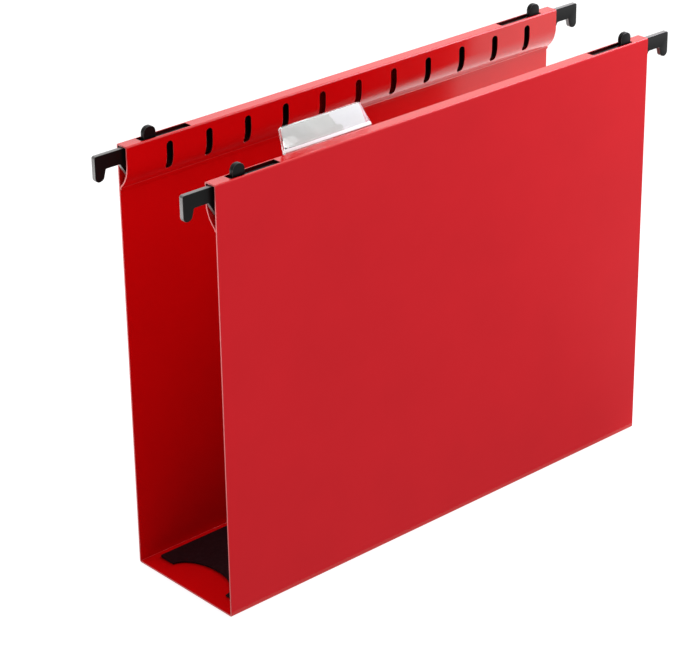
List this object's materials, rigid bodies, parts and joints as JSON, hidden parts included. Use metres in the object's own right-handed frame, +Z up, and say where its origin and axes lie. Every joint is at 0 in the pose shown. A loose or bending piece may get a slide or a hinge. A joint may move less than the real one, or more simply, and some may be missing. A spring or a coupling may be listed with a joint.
{
  "type": "hanging file folder",
  "caption": "Red plastic box-bottom folder that hangs in a filing frame on retractable hooks, with a clear index tab and a loose base board.",
  "frame": {"origin": "middle of the folder's length and width, on the surface that it stands on", "axes": "+X along the folder's length, +Y from the leaf with the tab towards the other leaf, +Z up"},
  "size_m": [0.3363, 0.0754, 0.2457],
  "materials": {
    "red_sheet": "semi-gloss polypropylene sheet",
    "hook_black": "satin moulded",
    "board_black": "matt sheet",
    "clear_tab": "clear moulded plastic",
    "label_paper": "blank white card"
  },
  "bodies": {
    "base": {"base_panel": "red_sheet"},
    "board": {"base_board": "board_black"},
    "front_leaf": {"front_panel": "red_sheet"},
    "back_leaf": {"back_panel": "red_sheet"},
    "tab": {"tab_holder": "clear_tab"},
    "label": {"tab_label": "label_paper"},
    "front_left_hook": {"hook_front_left": "hook_black"},
    "front_right_hook": {"hook_front_right": "hook_black"},
    "back_left_hook": {"hook_back_left": "hook_black"},
    "back_right_hook": {"hook_back_right": "hook_black"}
  },
  "joints": [
    {"name": "front_fold", "type": "hinge", "parent": "base", "child": "front_leaf", "pos_m": [0, -0.03765, 0], "axis": [1, 0, 0], "range_deg": [-5, 90]},
    {"name": "back_fold", "type": "hinge", "parent": "base", "child": "back_leaf", "pos_m": [0, 0.03765, 0], "axis": [-1, 0, 0], "range_deg": [-5, 90]},
    {"name": "front_left_retract", "type": "slide", "parent": "front_leaf", "child": "front_left_hook", "axis": [1, 0, 0], "range_m": [-0.0017, 0.0203]},
    {"name": "front_right_retract", "type": "slide", "parent": "front_leaf", "child": "front_right_hook", "axis": [-1, 0, 0], "range_m": [0, 0.022]},
    {"name": "back_left_retract", "type": "slide", "parent": "back_leaf", "child": "back_left_hook", "axis": [1, 0, 0], "range_m": [-0.0017, 0.0203]},
    {"name": "back_right_retract", "type": "slide", "parent": "back_leaf", "child": "back_right_hook", "axis": [-1, 0, 0], "range_m": [0, 0.022]},
    {"name": "tab_pull", "type": "slide", "parent": "front_leaf", "child": "tab", "axis": [0, 1, 0], "range_m": [0, 0.006]},
    {"name": "label_slide", "type": "slide", "parent": "tab", "child": "label", "axis": [1, 0, 0], "range_m": [0, 0.054]},
    {"name": "board_slide", "type": "slide", "parent": "base", "child": "board", "axis": [1, 0, 0], "range_m": [0, 0.285]}
  ]
}
